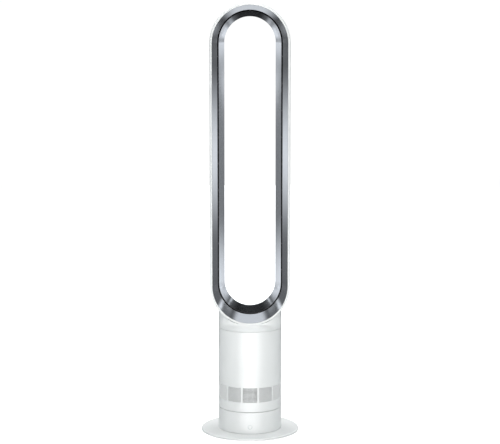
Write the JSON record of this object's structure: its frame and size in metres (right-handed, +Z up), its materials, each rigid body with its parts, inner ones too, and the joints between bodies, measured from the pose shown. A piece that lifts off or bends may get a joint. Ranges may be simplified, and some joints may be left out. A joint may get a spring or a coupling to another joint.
{
  "type": "bladeless tower fan",
  "caption": "Bladeless tower fan: tall oval air loop on a cylindrical body with a perforated intake, on a round base plate; oscillates, with a power button, rear release and hidden impeller.",
  "frame": {"origin": "on the floor under the centre of the round base plate", "axes": "+Z up, the fan blows and faces along -Y, +X is to the right as seen from the front"},
  "size_m": [0.23, 0.23, 1.0059],
  "materials": {
    "white_plastic": "semi-gloss moulded white",
    "silver_plastic": "glossy metallic silver paint over moulded plastic",
    "dark_plastic": "fine satin black",
    "grey_plastic": "plain moulded grey",
    "acetal": "waxy natural",
    "nylon": "natural",
    "clear_plastic": "translucent, clear",
    "rubber": "matt soft",
    "steel": "zinc-plated or ground steel",
    "circuit_board": "solder-masked glass laminate",
    "components": "moulded component bodies"
  },
  "bodies": {
    "base": {"base_plate": "white_plastic", "ballast_ring": "steel", "foot_ring": "rubber", "base_screws": "steel", "base_housing": "white_plastic", "light_ring": "clear_plastic", "button_spring": "steel", "button_switch": "dark_plastic", "control_board": "circuit_board", "display_module": "dark_plastic", "ir_receiver": "dark_plastic", "cable_gland": "dark_plastic", "power_board": "circuit_board", "board_posts": "nylon", "board_components": "components", "bearing_plate": "grey_plastic", "deck_screws": "steel", "pivot_spindle": "acetal", "spindle_screws": "steel", "spindle_clip": "dark_plastic", "glide_ring": "acetal", "oscillation_motor": "steel", "oscillation_motor_screws": "steel"},
    "pinion": {"drive_pinion": "acetal"},
    "button": {"power_button": "white_plastic"},
    "upper": {"ring_gear": "grey_plastic", "turntable": "grey_plastic", "body_screws": "steel", "motor_board": "circuit_board", "motor_board_posts": "nylon", "motor_board_components": "components", "electronics_cover": "grey_plastic", "body_shell": "white_plastic", "intake_grilles": "white_plastic", "rubber_mount": "rubber", "impeller_housing": "grey_plastic", "motor_bucket_lower": "grey_plastic", "motor_bucket_upper": "grey_plastic", "motor_stator": "steel", "ball_bearings": "steel", "air_seal": "rubber", "collar_seat": "grey_plastic", "seat_gasket": "rubber", "release_spring": "steel", "neck_collar": "white_plastic", "collar_screws": "steel", "loop_shell": "white_plastic", "front_diffuser": "silver_plastic", "rear_band": "silver_plastic", "slot_spacers": "dark_plastic"},
    "rotor": {"motor_shaft": "steel", "motor_rotor": "steel", "impeller": "acetal", "impeller_nut": "steel"},
    "release": {"release_button": "white_plastic"}
  },
  "joints": [
    {"name": "oscillation", "type": "hinge", "parent": "base", "child": "upper", "pos_m": [0, 0, 0.05], "axis": [0, 0, 1], "range_deg": [-35, 35]},
    {"name": "pinion_spin", "type": "hinge", "parent": "base", "child": "pinion", "pos_m": [0.04, 0, 0.045], "axis": [0, 0, 1], "range_deg": [-176, 176]},
    {"name": "power_button_press", "type": "slide", "parent": "base", "child": "button", "axis": [0, 1, 0], "range_m": [0, 0.0012], "stiffness_N_per_m": 900, "springref_m": -0.0006, "deforming": ["button_spring"]},
    {"name": "impeller_spin", "type": "hinge", "parent": "upper", "child": "rotor", "pos_m": [0, 0, 0.15], "axis": [0, 0, 1], "continuous": true},
    {"name": "release_press", "type": "slide", "parent": "upper", "child": "release", "axis": [0, -1, 0], "range_m": [0, 0.0032], "stiffness_N_per_m": 1200, "springref_m": -0.001, "deforming": ["release_spring"]}
  ],
  "couplings": [
    {"joint": "pinion_spin", "follows": "oscillation", "ratio": 5}
  ]
}
